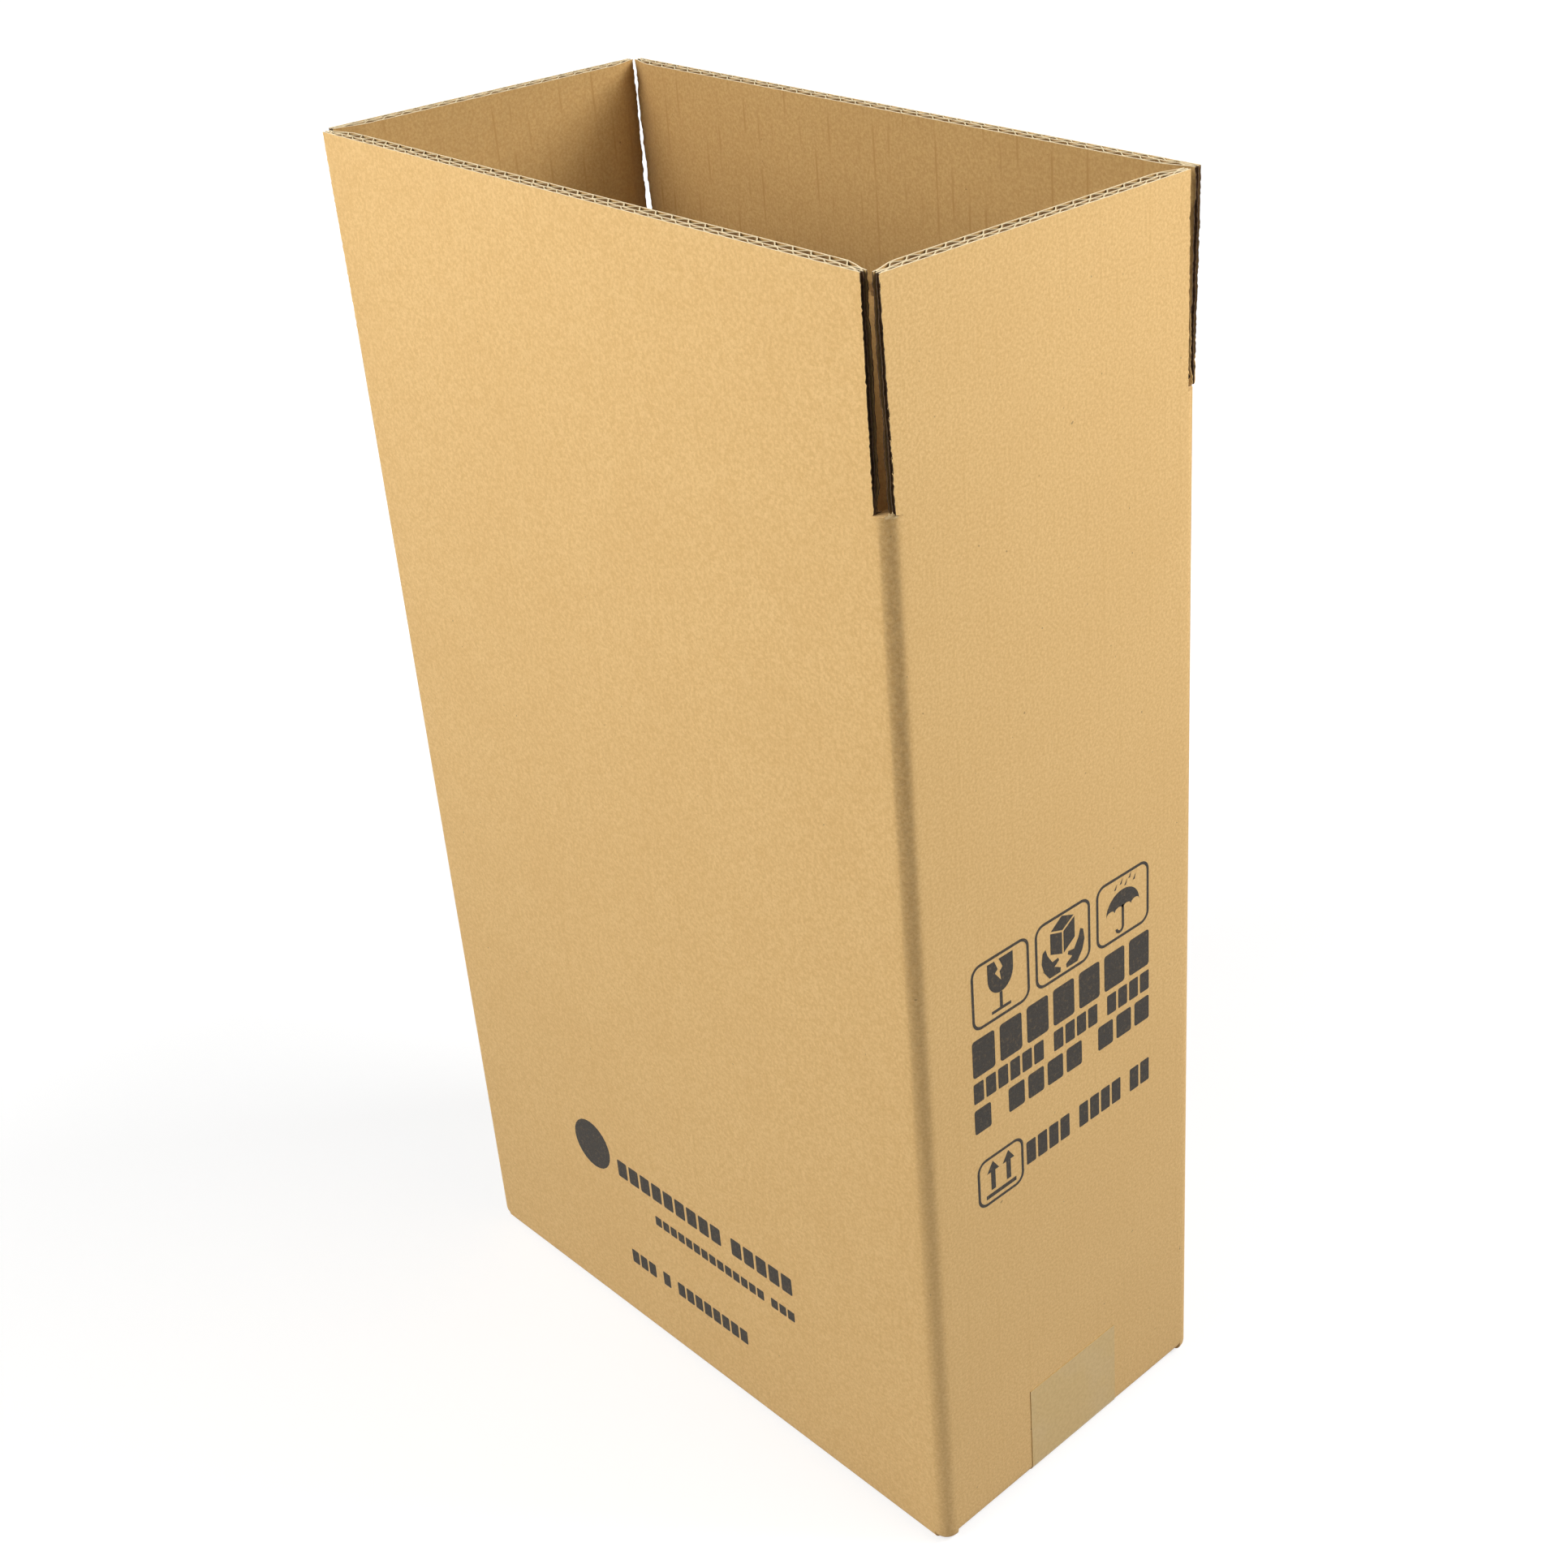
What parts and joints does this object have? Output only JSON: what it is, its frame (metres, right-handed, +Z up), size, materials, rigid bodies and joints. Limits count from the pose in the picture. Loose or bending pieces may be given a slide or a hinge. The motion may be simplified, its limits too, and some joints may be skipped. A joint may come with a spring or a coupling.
{
  "type": "corrugated shipping box",
  "caption": "Tall slotted carton of double-wall corrugated board, standing open, with hinged top flaps and a taped bottom.",
  "frame": {"origin": "middle of the base, on the surface that the carton stands on", "axes": "+Z up, X along the wide panels, -Y out of the front wide panel, +X out of the right narrow panel"},
  "size_m": [0.2824, 0.142, 0.4881],
  "materials": {
    "board": "matt brown kraft paper",
    "tape": "clear tan packing tape, satin"
  },
  "bodies": {
    "carton": {"carton_body": "board", "bottom_tape": "tape"},
    "front_flap": {"front_top_flap": "board"},
    "back_flap": {"back_top_flap": "board"},
    "right_flap": {"right_top_flap": "board"},
    "left_flap": {"left_top_flap": "board"}
  },
  "joints": [
    {"name": "front_flap_fold", "type": "hinge", "parent": "carton", "child": "front_flap", "pos_m": [0, -0.071, 0.4186], "axis": [-1, 0, 0], "range_deg": [-175, 90]},
    {"name": "back_flap_fold", "type": "hinge", "parent": "carton", "child": "back_flap", "pos_m": [0, 0.071, 0.4186], "axis": [1, 0, 0], "range_deg": [-175, 90]},
    {"name": "right_flap_fold", "type": "hinge", "parent": "carton", "child": "right_flap", "pos_m": [0.141, 0, 0.4123], "axis": [0, -1, 0], "range_deg": [-175, 90]},
    {"name": "left_flap_fold", "type": "hinge", "parent": "carton", "child": "left_flap", "pos_m": [-0.141, 0, 0.4123], "axis": [0, 1, 0], "range_deg": [-175, 90]}
  ]
}
